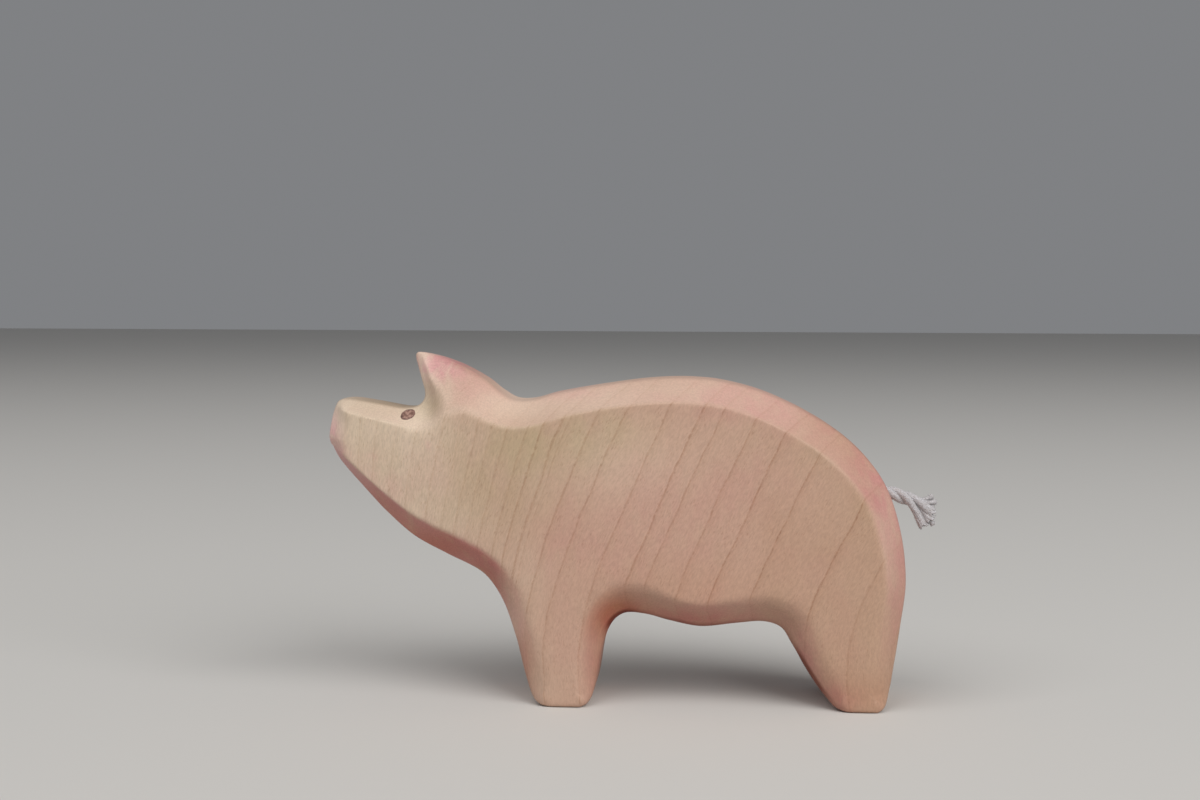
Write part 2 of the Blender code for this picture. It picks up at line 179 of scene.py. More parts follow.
mapleFigure = {
    "slopeLow": -0.12,  # lean of the growth lines in the legs, as run over rise
    "slopeMore": 0.52,  # and how much more of it on the body
    "legsTop": 14.0,
    "legsBlend": 18.0,
    "leanAhead": 0.0148,  # upright at the snout, leaning at the middle
    "leanBehind": 0.0044,  # and a little more at the rump
    "leastLean": 0.2,
    "depthSlope": 0.42,  # they cross the block's thickness at a slant
    "seenSide": 13.0,  # from the middle of the block to the side that is seen
    # growth lines on the side that is seen: place along the pig in millimetres, strength
    "lines": [
        (-84.0, 0.5), (-81.5, 0.3), (-79.0, 0.6), (-76.0, 0.4), (-73.0, 0.5), (-69.5, 0.3), (-66.5, 0.4),
        (-63.5, 0.3), (-60.0, 0.35), (-57.0, 0.3), (-53.5, 0.2), (-50.0, 0.3), (-45.9, 0.35), (-42.8, 0.2),
        (-40.0, 0.4), (-37.5, 0.3), (-35.0, 0.45), (-31.8, 0.45), (-29.3, 0.75), (-26.5, 0.65), (-25.6, 0.4),
        (-21.8, 0.7), (-17.3, 0.65), (-9.9, 0.65), (-3.5, 0.85), (0.3, 0.7), (7.1, 0.75), (14.0, 0.95),
        (22.0, 0.85), (34.8, 1.0), (44.5, 0.5), (52.0, 0.7), (60.0, 0.6), (68.0, 0.6)],
    "lineWidth": 0.24,
    "lineTail": 1.6,  # how much wider a line is behind than in front
    "lineCore": 0.05,
    "bandWidth": 2.4,
    "gapStep": 0.3,  # step over which the gap between two lines is measured
    "slowWander": 1.1,  # how far the lines leave their places
    "quickWander": 0.65,
    # noise: scales along the pig, across it and upwards, detail, roughness
    "slow": ((0.10, 0.10, 0.07), 2.0, 0.5),
    "quick": ((0.5, 0.5, 0.25), 4.0, 0.6),
    "broken": ((2.8, 2.8, 1.5), 4.0, 0.7),
    "long": ((4.2, 4.2, 0.8), 4.0, 0.6),
    "short": ((2.6, 2.6, 1.0), 5.0, 0.7),
    "speck": ((4.8, 4.8, 1.2), 2.0, 0.5),
    "patch": ((0.25, 0.25, 0.12), 2.0, 0.5),
    # ramps: from, to, and the value at each end
    "brokenRamp": (0.38, 0.58, 0.22, 1.18),
    "shortShare": (-32.0, -4.0, 0.10, 0.85),
    "speckRamp": (0.56, 0.74),
    "patchRamp": (0.35, 0.65, 0.4, 1.0),
    "fleckDent": -0.9,
    "lineDent": -0.5,
}


def mapleFigureGroup():
    labels = ("Line", "Band", "Fleck", "Fibre", "Height")
    outputs = [(label, "Float") for label in labels]
    group, given, result = newGroup("mapleFigure", [("Place", "Vector")], outputs)
    figure = mapleFigure
    work = partial(calc, group)
    times = partial(work, "MULTIPLY")
    x, y, z = putNode(group, "ShaderNodeSeparateXYZ", {0: given["Place"]}).outputs

    # the lean of the grain, first along the height and then along the pig
    above = work("SMOOTH_MAX", work("SUBTRACT", z, figure["legsTop"]), 0.0, figure["legsBlend"])
    rise = work("MULTIPLY_ADD", above, figure["slopeMore"], times(z, figure["slopeLow"]))
    lean = work("MINIMUM", work("MULTIPLY_ADD", x, figure["leanAhead"], 1.0),
                work("MULTIPLY_ADD", x, figure["leanBehind"], 1.0))
    lean = work("MAXIMUM", lean, figure["leastLean"])
    along = work("SUBTRACT", x, times(rise, lean))
    grain = putNode(group, "ShaderNodeCombineXYZ", {0: along, 1: y, 2: z}).outputs[0]

    def figureCloud(name, place=grain):
        return cloud(group, place, *figure[name])

    # growth lines, counted by a curve that passes a whole number at each of them, and never quite straight
    slant = figure["depthSlope"]
    ring = work("SUBTRACT", along, work("MULTIPLY_ADD", y, slant, figure["seenSide"] * slant))
    slow = work("SUBTRACT", figureCloud("slow", given["Place"]), 0.5)
    ring = work("MULTIPLY_ADD", slow, figure["slowWander"], ring)
    quick = work("SUBTRACT", figureCloud("quick"), 0.5)
    ring = work("MULTIPLY_ADD", quick, figure["quickWander"], ring)
    lines = figure["lines"]
    first, last = lines[0][0], lines[-1][0]

    def readCurve(place, values):
        node = putNode(group, "ShaderNodeFloatCurve", {"Value": evenRamp(group, place, first, last)})
        curve = node.mapping.curves[0]
        spots = [((where - first) / (last - first), value) for (where, strength), value in zip(lines, values)]
        for point, spot in zip((curve.points[0], curve.points[1]), (spots[0], spots[-1])):
            point.location = spot
        for spot in spots[1:-1]:
            curve.points.new(*spot)
        for point in curve.points:
            point.handle_type = "VECTOR"
        node.mapping.update()
        return node.outputs[0]

    total = len(lines) - 1
    counts = [index / total for index in range(total + 1)]
    step = figure["gapStep"]
    count = times(readCurve(ring, counts), total)
    further = times(readCurve(work("ADD", ring, step), counts), total)
    gap = work("DIVIDE", step, work("MAXIMUM", work("SUBTRACT", further, count), 0.01))
    part = work("FRACT", count)
    before = times(work("SUBTRACT", 1.0, part), gap)
    after = times(part, gap)
    strength = readCurve(ring, [strength for place, strength in lines])
    width, core = figure["lineWidth"], figure["lineCore"]
    behind = ramp(group, after, figure["lineTail"] * width, core)
    line = work("MAXIMUM", ramp(group, before, width, core), behind)
    broken = ramp(group, figureCloud("broken"), *figure["brokenRamp"])
    line = times(line, times(strength, broken))
    band = times(ramp(group, after, figure["bandWidth"], 0.0), strength)

    # fibres, long in the head and short in the body, and the small dark flecks between them
    short = ramp(group, x, *figure["shortShare"])
    fibre = work("ADD", times(figureCloud("short"), short),
                 times(figureCloud("long"), work("SUBTRACT", 1.0, short)))
    patch = ramp(group, figureCloud("patch"), *figure["patchRamp"])
    fleck = times(ramp(group, figureCloud("speck"), *figure["speckRamp"]), patch)
    dents = work("MULTIPLY_ADD", fleck, figure["fleckDent"], fibre)
    height = work("MULTIPLY_ADD", line, figure["lineDent"], dents)

    for label, value in zip(labels, (line, band, fleck, fibre, height)):
        group.links.new(value, result[label])
    return group


figureGroup = mapleFigureGroup()
print("maple figure ready")


# the wood: sawn to an outline, then bevelled along it by hand. Each point of a cut: x, z, half width of
# the rim left between the two bevels, reach of the bevel, softness of its inner edge, in millimetres

carving = {
    "throat": [
        (-16.4, 0, 12.2, 0.8, 0.4), (-17.9, 0.3, 11.8, 1.1, 0.8), (-19, 0.9, 11, 1.7, 1.6),
        (-19.8, 1.9, 10.3, 2.2, 2.4), (-20.6, 3.7, 9.7, 2.6, 3), (-21.7, 7.2, 9.2, 2.7, 3.4),
        (-23.5, 14, 8.6, 2.8, 3.2), (-26.5, 21.4, 7.4, 3.6, 3), (-30.6, 26.4, 6, 4.3, 1.8),
        (-38.1, 30.1, 5.4, 5, 0.9), (-44.9, 33.6, 5, 4.8, 0.6), (-50.3, 38.1, 4.7, 3.9, 0.5),
        (-56.2, 44.3, 4.3, 2.8, 0.5), (-60.7, 49.3, 4, 2.2, 0.9), (-62.4, 52.2, 3.8, 2.2, 1.4)],
    "muzzle": [
        (-62.4, 52.2, 4.6, 2.8, 2.4), (-62.9, 54.2, 5.4, 3, 2.6), (-62.3, 58, 5.4, 3.2, 2.4),
        (-61.7, 60.4, 4.8, 2.8, 1.8), (-60.9, 61.8, 4, 2.4, 1.2)],
    "brow": [
        (-60.9, 61.8, 4, 2.4, 1.2), (-58.6, 62.1, 4.2, 2.4, 0.5), (-53.4, 61.4, 4.5, 2.9, 0.35),
        (-48.4, 60.5, 4.6, 3.1, 0.3), (-46, 60.4, 4.6, 3.7, 0.3), (-44.5, 60.8, 4.2, 4.4, 0.3),
        (-43.4, 61.8, 3.8, 5.4, 0.4)],
    "earFront": [
        (-43.4, 61.8, 3.8, 5.6, 0.5), (-43.1, 63.4, 3, 5.8, 0.8), (-43.9, 66, 1.9, 6, 0.6),
        (-44.8, 68.9, 1.1, 8.8, 0.5), (-45.3, 70.6, 0.8, 14, 0.4), (-45.3, 71.4, 0.8, 18, 0.4)],
    "back": [
        (-45.3, 71.4, 1, 13, 0.8), (-44.8, 71.8, 1.2, 13, 1), (-41.8, 71.4, 1.8, 13, 1.4),
        (-37.7, 70.15, 3, 12, 2.8), (-33.8, 68.4, 4, 9.6, 2.4), (-30.4, 66.4, 4.9, 7.4, 1.4),
        (-27.2, 63.8, 5.6, 6, 0.8), (-24.4, 62.2, 6, 5.3, 0.5), (-20.6, 62.2, 6.2, 5, 0.4),
        (-15.2, 63.7, 6.2, 4.8, 0.4), (-5, 65.5, 6.2, 4.5, 0.4), (7, 66.9, 6.2, 4.7, 0.4),
        (18.5, 66.3, 6.3, 4.8, 0.4), (30, 62.9, 6.4, 5, 0.4), (41.8, 56.4, 6.5, 5.4, 0.4),
        (49.9, 48.6, 6.5, 5.4, 1), (54.3, 39, 6.5, 4.8, 1.4), (56.1, 27, 6.5, 4.2, 1.8),
        (55.1, 17.5, 7.6, 3.9, 2.2), (53.5, 7.6, 8.8, 2.7, 2.8), (52.6, 3.4, 9.6, 2.4, 2.8),
        (52.1, 1.6, 10.4, 2, 2.2), (51.5, 0.6, 11.3, 1.4, 1.2), (50.3, 0, 12.2, 0.8, 0.4)],
    "hindSole": [(50.3, 0, 12.3, 0.6, 0.4), (44.2, 0, 12.3, 0.6, 0.4)],
    "belly": [
        (44.2, 0, 12.2, 0.8, 0.4), (42.9, 0.3, 11.7, 1.2, 0.8), (41.6, 0.9, 11, 1.8, 1.6),
        (40.5, 2, 10.3, 2.3, 2.4), (39.1, 3.6, 9.7, 2.7, 3), (36.1, 7.8, 9, 3, 3.4),
        (33.1, 13, 8, 3.8, 3.2), (31, 16.1, 7, 4.8, 2.8), (27.4, 17.2, 6.4, 5.5, 1.8),
        (22, 16.7, 6.2, 5.6, 1.1), (14.6, 15.9, 6.2, 5.6, 1.1), (8, 17.1, 6.2, 5.4, 1.1),
        (2.6, 18.4, 6.2, 6.2, 1.6), (-1.2, 18.5, 6.4, 6.2, 2), (-3.7, 16.6, 7.2, 4.8, 2.2),
        (-5.55, 12, 7.8, 3.8, 1.8), (-6.8, 5.2, 8.6, 3.2, 1.6), (-7.3, 2.8, 9.6, 2.5, 1.8),
        (-7.8, 1.5, 10.6, 2, 2), (-8.6, 0.5, 11.4, 1.3, 1), (-9.8, 0, 12.2, 0.8, 0.4)],
    "foreSole": [(-9.8, 0, 12.3, 0.6, 0.4), (-16.4, 0, 12.3, 0.6, 0.4)],
    # place along the pig, half thickness of the block there
    "taper": [(-63, 8.6), (-45, 10.3), (-20, 12.4), (-5, 13), (30, 13), (56, 12.4)],
    "rimRoundShare": 0.12,
    "rimRoundMost": 0.6,
    "rimRoundReach": 0.4,
    "leastClimb": 0.4,
    "thinShare": 0.25,  # softness left where the wood is thin
    "thinPower": 1.5,
    "edgeShare": 0.5,  # width of the worn band, with its painted highlight, at a bevel's inner edge
    "edgeLeast": 0.35,
    "edgeUnder": 3.0,
}
skin = {
    "spanSteps": 12,
    "soleSteps": 24,
    "alongStep": 0.5,  # between points along a cut
    "nearDepths": [0.11, 0.24, 0.38, 0.55, 0.85, 1.2],  # rows of points in from a cut
    "rowStep": 0.42,
    "edgeRows": [0.0, -0.16, 0.16],  # rows at a bevel's inner edge
    "pastEdge": 1.4,
    "clearance": 0.11,
    "ownMargin": 0.15,
    "gridFrom": (-63.0, 0.3),
    "gridTo": (57.0, 72.0),
    "gridStep": 0.95,
    "gridClearance": 0.6,  # as a share of the step
    "cell": 0.3,
    "chunk": 4000,  # places that are worked on at a time
    "rimStrips": 10,
    "rimCrown": 0.06,
    "sanding": [(0.10, 0.085), (0.33, 0.028)],  # waves per millimetre and height of each wave
    "sandingFrom": 0.05,  # none at the soles
    "floorFade": 2.0,
}


def smoothSpans(knots, steps):
    before = [knots[0]] + knots[:-1]
    after = knots[1:] + [knots[-1]]
    directions = [(b - a).normalized() for a, b in zip(before, after)]
    spans = []
    for start, end, leaving, arriving in zip(knots[:-1], knots[1:], directions[:-1], directions[1:]):
        reach = (end - start).length / 3
        handles = start + leaving * reach, end - arriving * reach
        spans.append(interpolate_bezier(start, *handles, end, steps + 1))
    return spans


def traceChain(names):
    cuts = [carving[name] for name in names]
    knots = [Vector(cuts[0][0][:2])] + [Vector(point[:2]) for cut in cuts for point in cut[1:]]
    spans = iter(smoothSpans(knots, skin["spanSteps"]))
    lines = []
    for cut in cuts:
        line = [cut[0]]
        for start, end in zip(cut[:-1], cut[1:]):
            span = next(spans)
            for step in range(1, skin["spanSteps"] + 1):
                share = step / skin["spanSteps"]
                bevel = (a + share * (b - a) for a, b in zip(start[2:], end[2:]))
                line.append((span[step].x, span[step].y, *bevel))
        lines.append(np.array(line))
    return lines


def straightCut(name):
    return np.linspace(*carving[name], skin["soleSteps"] + 1)


# the same line with its points at even distances
def evenLine(line, step=None, count=None, axes=2):
    runs = np.concatenate([[0.0], np.cumsum(np.linalg.norm(np.diff(line[:, :axes], axis=0), axis=1))])
    even = np.linspace(0.0, runs[-1], count or max(2, round(runs[-1] / step) + 1))
    return np.column_stack([np.interp(even, runs, line[:, column]) for column in range(line.shape[1])])


def nearestOnCut(line, places):
    starts = line[:-1, :2]
    runs = line[1:, :2] - starts
    lengths = (runs * runs).sum(axis=1)
    found = []
    for chunk in np.array_split(places, max(1, len(places) // skin["chunk"])):
        offsets = chunk[:, None, :] - starts[None, :, :]
        shares = np.clip((offsets * runs).sum(axis=2) / lengths, 0.0, 1.0)
        distances = np.linalg.norm(offsets - shares[:, :, None] * runs, axis=2)
        best = distances.argmin(axis=1)
        rows = np.arange(len(chunk))
        share = shares[rows, best][:, None]
        bevel = line[best, 2:5] + share * (line[best + 1, 2:5] - line[best, 2:5])
        found.append(np.column_stack([distances[rows, best], bevel]))
    return np.concatenate(found).T


def sideHalf(places):
    return np.interp(places[:, 0], *zip(*carving["taper"]))


def bevelHalf(line, places):
    distance, rim, reach, softness = nearestOnCut(line, places)
    rounding = np.minimum(carving["rimRoundShare"] * rim, carving["rimRoundMost"])
    rounding *= np.maximum(1.0 - distance / carving["rimRoundReach"], 0.0) ** 2
    climb = np.maximum(sideHalf(places) - rim, carving["leastClimb"])
    return rim + climb * distance / reach - rounding, softness, distance


# half thickness at each place, how far it lies under the flat side, how near it is to a bevel's inner
# edge, and how near to the rim
def carve(lines, places):
    side = sideHalf(places)
    half = side.copy()
    edge = np.zeros(len(places))
    rim = np.full(len(places), np.inf)
    for line in lines:
        bevel, softness, distance = bevelHalf(line, places)
        thinness = np.clip(np.minimum(half, bevel) / side, carving["thinShare"], 1.0)
        softness = softness * thinness ** carving["thinPower"]
        away = (half - bevel) / (carving["edgeShare"] * softness + carving["edgeLeast"])
        edge = np.maximum(edge, np.exp(-away ** 2) * (bevel > half - carving["edgeUnder"]))
        overlap = np.maximum(softness - abs(half - bevel), 0.0) / softness
        half = np.minimum(half, bevel) - overlap * overlap * softness / 4
        rim = np.minimum(rim, distance)
    return half, side - half, edge, rim


def insideOutline(outline, places):
    start, end = outline, np.roll(outline, -1, axis=0)
    rise = np.where(end[:, 1] == start[:, 1], 1.0, end[:, 1] - start[:, 1])
    inside = []
    for chunk in np.array_split(places, max(1, len(places) // skin["chunk"])):
        x, z = chunk[:, :1], chunk[:, 1:]
        straddles = (start[:, 1] > z) != (end[:, 1] > z)
        crossing = start[:, 0] + (z - start[:, 1]) * (end[:, 0] - start[:, 0]) / rise
        inside.append((straddles & (x < crossing)).sum(axis=1) % 2 == 1)
    return np.concatenate(inside)


# keeps the candidates that stand clear of those kept so far
class SpacedPlaces:
    def __init__(self, cell):
        self.cell = cell
        self.cells = {}
        self.places = []

    def near(self, place, gap):
        reach = math.ceil(gap / self.cell)
        column, row = math.floor(place[0] / self.cell), math.floor(place[1] / self.cell)
        for i in range(column - reach, column + reach + 1):
            for j in range(row - reach, row + reach + 1):
                for other in self.cells.get((i, j), ()):
                    if (other[0] - place[0]) ** 2 + (other[1] - place[1]) ** 2 < gap * gap:
                        return True
        return False

    def add(self, candidates, gap):
        for place in candidates.tolist():
            if gap == 0 or not self.near(place, gap):
                key = (math.floor(place[0] / self.cell), math.floor(place[1] / self.cell))
                self.cells.setdefault(key, []).append(place)
                self.places.append(place)


def rowsBeside(lines, own):
    line = evenLine(lines[own], skin["alongStep"])
    along = np.gradient(line[:, :2], axis=0)
    inward = np.column_stack([along[:, 1], -along[:, 0]]) / np.linalg.norm(along, axis=1)[:, None]
    deepest = line[:, 3].max() + skin["pastEdge"]
    rows = []
    depths = [line[:, 3] + past for past in skin["edgeRows"]]
    further = np.arange(skin["nearDepths"][-1], deepest, skin["rowStep"])[1:]
    depths += [np.full(len(line), depth) for depth in [*skin["nearDepths"], *further]]
    for depth in depths:
        places = (line[:, :2] + inward * depth[:, None])[depth < line[:, 3] + skin["pastEdge"]]
        if len(places) == 0:
            continue
        ownHalf = bevelHalf(lines[own], places)[0]
        others = [bevelHalf(other, places)[0] for index, other in enumerate(lines) if index != own]
        rows.append(places[ownHalf < np.min(others, axis=0) + skin["ownMargin"]])
    return np.concatenate(rows)


# pink stain, given spot by spot: x, z, radius along x and along z in millimetres, then the amount on the flat
# side and on the bevels and the rim
pinkSpots = [
    (-39.5, 69.6, 7.5, 3.2, 0.7, 1.2),  # top of the ear
    (-33, 64.5, 7, 4.5, 0.18, 0.3),
    (-62, 54.5, 3, 5, 0.3, 0.55),  # snout
    (-61, 50.5, 3, 2.5, 0.3, 0.6),
    (-54, 43, 14, 9, 0.16, 2),  # chin and throat
    (-38, 30.5, 12, 5, 0.22, 1.8),
    (-28, 22, 5, 5, 0.12, 0.7),
    (-23, 10, 3.5, 10, 0.1, 0.5),  # chest
    (-2, 17.5, 4, 3.5, 0.1, 0.75),  # behind the fore leg
    (-6.5, 8, 3, 8, 0.05, 0.36),
    (14, 17, 16, 5, 0.14, 0.75),  # belly
    (36, 9, 5, 9, 0.1, 0.42),  # front of the hind leg
    (35, 11, 2, 4, 0, 0.35),
    (42, 2, 4, 3.5, 0.4, 0.8),
    (51, 46, 8, 12, 0.1, 0.78),  # rump
    (55.5, 25, 5, 14, 0.1, 0.6),
    (28, 62, 20, 6, 0.05, 0.45),  # back
    (41, 56, 7, 4, 0, 0.22),
    (22, 60.3, 11, 1.8, 0.25, 0),
    (35, 56.3, 7, 2, 0.2, 0),
    (-14, 64, 9, 2, 0, 0.3),
    (6, 38, 16, 11, 0.22, 0.2),  # flank
    (24, 46, 12, 9, 0.12, 0.2),
    (-12, 33, 8, 8, 0.18, 0.2),
    (-48, 45, 7, 5, 0.16, 0.2),  # cheek
    (-41.2, 53.2, 0.6, 0.9, 0.45, 0),
    (-53, 50.6, 0.9, 0.6, 0.25, 0),
]
# paler wood on the head and shoulder, and painted light on the bevels that face up, on the snout, the front
# of the ear and the chest
paleWoodAndLightSpots = [
    (-44, 57.5, 7, 2, 0, 0.22),  # below the eye
    (-44, 67, 2.2, 6, 0.3, 0.8),  # front of the ear
    (-46, 54.5, 16, 7, 0.17, 0),  # head
    (-25, 61, 9, 4, 0, 0.24),  # neck and back
    (-8, 63, 14, 5, 0, 0.28),
    (14, 64.5, 12, 5, 0, 0.17),
    (30, 61, 10, 5, 0, 0.1),
    (52, 36, 5, 14, 0, 0.2),  # rump
    (-62.5, 57, 3.6, 5, 0.35, 0.8),  # snout
    (-2, 50, 14, 8, 0.14, 0),  # shoulder
    (-24.5, 16, 4, 4, 0, 0.2),  # chest
]
# painted shade under chin and belly, beside the legs, low on the flank and on the hind foot
paintedShadeSpots = [
    (-52, 40, 10, 7, 0, 0.65),
    (-40, 32, 12, 5, 0, 0.8),
    (-29.5, 25, 4, 5, 0, 0.65),
    (-2.5, 19, 5, 5, 0, 0.95),
    (-6, 8, 2.5, 8, 0, 0.4),
    (-22, 8, 3, 8, 0, 0.4),
    (12, 24, 18, 7, 0.22, 0),
    (10, 17, 16, 4, 0, 0.52),
    (47, 3.5, 8, 4.5, 0.28, 0.32),
    (34, 34, 14, 12, 0.07, 0),
]
# painted shade on the rim of the brow, the strip that faces up
browRimShadeSpots = [
    (-55, 62, 6, 2.5, 0, 0.8),
    (-48, 60.5, 5, 2, 0, 0.9),
]
# dark red-brown stain on the rim of ear, belly and legs, deepened by painted shade where the surface turns
# away from the light
darkRimStainAndShadeSpots = [
    (-35, 69, 6, 3, 0, 0.3),
    (37, 7.5, 5, 7, 0, 1.4),
    (-2.5, 18, 4, 2.5, 0, 1.4),
    (12, 16.5, 14, 2.5, 0, 0.65),
    (-7, 5, 3, 9, 0, 0.15),
    (-22, 5, 3, 9, 0, 0.2),
]
# bare wood with an olive cast
oliveSpots = [
    (-20, 54, 14, 8, 0.7, 0.1),  # shoulder
    (-3, 56, 10, 6, 0.45, 0.05),
    (-43.8, 67, 1.9, 6, 0.6, 1),  # front of the ear
    (-41.5, 61, 3, 3, 0.55, 0.6),
    (-52, 52, 12, 8, 0.4, 0.1),  # head
    (-62.5, 57, 3, 5, 0.25, 0.6),  # snout
    (-28, 44, 14, 12, 0.4, 0.1),
    (34, 55, 10, 5, 0.3, 0),
    (49, 46, 6, 8, 0.45, 0),
]
maskReach = {
    "mostPaint": 1.5,
    "bevelDepth": 0.5,  # depth under the flat side from which a bevel counts in full
    "rim": 0.4,  # width of the painted shade on the brow's rim, in from the outline
    "deepRim": 0.7,  # the same for the dark red-brown stain and painted shade on the rims, which starts to fade further in
    "deepRimStart": 1.7,
    "wornAndSheenAlong": ((-30.0, 20.0), (1.0, 0.2)),  # the rubbed edges and their painted highlight fade along the pig and downwards
    "wornAndSheenUp": ((38.0, 50.0), (0.0, 1.0)),
}


def paintSpots(spots, places, bevel):
    amount = np.zeros(len(places))
    for x, z, wide, high, flat, cut in spots:
        shape = np.exp(-((places[:, 0] - x) / wide) ** 2 - ((places[:, 1] - z) / high) ** 2)
        amount += shape * (flat + (cut - flat) * bevel)
    return np.clip(amount, 0.0, maskReach["mostPaint"])


def putAttribute(mesh, name, values):
    mesh.attributes.new(name, "FLOAT", "POINT").data.foreach_set("value", values.astype(np.float32))


def makeWood():
    top = traceChain(["throat", "muzzle", "brow", "earFront", "back"])
    lines = top + [straightCut("hindSole")] + traceChain(["belly"]) + [straightCut("foreSole")]
    outline = np.concatenate([evenLine(line, skin["alongStep"])[:-1] for line in lines])
    count = len(outline)
    flat = outline[:, :2]

    spaced = SpacedPlaces(skin["cell"])
    spaced.add(flat, 0)
    for own in range(len(lines)):
        rows = rowsBeside(lines, own)
        spaced.add(rows[insideOutline(flat, rows)], skin["clearance"])
    step = skin["gridStep"]
    x, z = np.meshgrid(*(np.arange(*ends, step) for ends in zip(skin["gridFrom"], skin["gridTo"])))
    grid = np.column_stack([x.ravel(), z.ravel()])
    spaced.add(grid[insideOutline(flat, grid)], skin["gridClearance"] * step)

    rimEdges = [(index, (index + 1) % count) for index in range(count)]
    found = delaunay_2d_cdt([Vector(place) for place in spaced.places], rimEdges, [], 0, 1e-6)
    places = np.array(found[0])
    triangles = np.array([tuple(face) for face in found[2]])
    triangles = triangles[insideOutline(flat, places[triangles].mean(axis=1))]
    half, under, edge, rim = carve(lines, places)

    # both sides, then the rim between them as strips with a slight crown
    total = len(places)
    left = np.column_stack([places[:, 0], -half, places[:, 1]])
    right = np.column_stack([places[:, 0], half, places[:, 1]])
    along = np.roll(flat, -1, axis=0) - np.roll(flat, 1, axis=0)
    outward = np.column_stack([-along[:, 1], along[:, 0]]) / np.linalg.norm(along, axis=1)[:, None]
    offFloor = np.clip(flat[:, 1] / skin["floorFade"], 0.0, 1.0)
    points = [left, right]
    strips = skin["rimStrips"]
    for strip in range(1, strips):
        across = -1 + 2 * strip / strips
        crown = skin["rimCrown"] * (1 - across ** 2) * offFloor
        lifted = flat + outward * crown[:, None]
        points.append(np.column_stack([lifted[:, 0], half[:count] * across, lifted[:, 1]]))
    points = np.concatenate(points)
    faces = [tuple(face) for face in triangles.tolist()]
    faces += [(c + total, b + total, a + total) for a, b, c in triangles.tolist()]
    starts = [0] + [2 * total + strip * count for strip in range(strips - 1)] + [total]
    for lower, upper in zip(starts[:-1], starts[1:]):
        faces += [(lower + a, lower + b, upper + b, upper + a) for a, b in rimEdges]

    mesh = bpy.data.meshes.new("carvedWood")
    mesh.from_pydata((points * mm).tolist(), [], faces)
    mesh.validate()
    mesh.update()
    mesh.shade_smooth()

    # the unevenness of hand sanding
    normals = np.empty(len(points) * 3)
    mesh.vertex_normals.foreach_get("vector", normals)
    normals = normals.reshape(-1, 3)
    sanded = points.copy()
    for index, point in enumerate(points):
        height = sum(size * noise.noise(Vector(point * rate)) for rate, size in skin["sanding"])
        offFloor = min(1.0, max(0.0, (point[2] - skin["sandingFrom"]) / skin["floorFade"]))
        sanded[index] += normals[index] * height * offFloor
    sanded[:, 2] = np.maximum(sanded[:, 2], 0.0)
    mesh.vertices.foreach_set("co", (sanded * mm).ravel())

    # the masks for the stain and for the painted light and shade: the places on both sides, then those on the
    # rim
    def onAll(values, onRim):
        return np.concatenate([values, values, np.tile(onRim, strips - 1)])

    reach = maskReach
    bevel = onAll(np.clip(under / reach["bevelDepth"], 0.0, 1.0), np.ones(count))
    # worn edges with a painted highlight, stronger towards the head and the top
    wornAndSheen = edge * np.interp(places[:, 0], *reach["wornAndSheenAlong"]) * np.interp(places[:, 1], *reach["wornAndSheenUp"])
    wornAndSheen = onAll(wornAndSheen, np.zeros(count))
    # dark red-brown stain and painted shade, on the rim and fading in from it
    deepRim = onAll(np.clip(reach["deepRimStart"] - rim / reach["deepRim"], 0.0, 1.0), np.ones(count))
    # painted shade on the brow's rim, fading within a short width from it
    rim = onAll(np.clip(1.0 - rim / reach["rim"], 0.0, 1.0), np.ones(count))
    flatPlaces = np.column_stack([points[:, 0], points[:, 2]])
    putAttribute(mesh, "bevel", bevel)
    putAttribute(mesh, "edge", wornAndSheen)
    painted = {"rim": (browRimShadeSpots, rim), "pink": (pinkSpots, bevel), "paleWoodAndLight": (paleWoodAndLightSpots, bevel),
               "deep": (paintedShadeSpots, bevel), "deepRim": (darkRimStainAndShadeSpots, deepRim), "olive": (oliveSpots, bevel)}
    for name, (spots, mask) in painted.items():
        putAttribute(mesh, name, paintSpots(spots, flatPlaces, mask))
    mesh.update()
    piece = putObject("carvedWood", mesh)
    print("wood:", len(mesh.polygons), "faces")
    return piece, lines


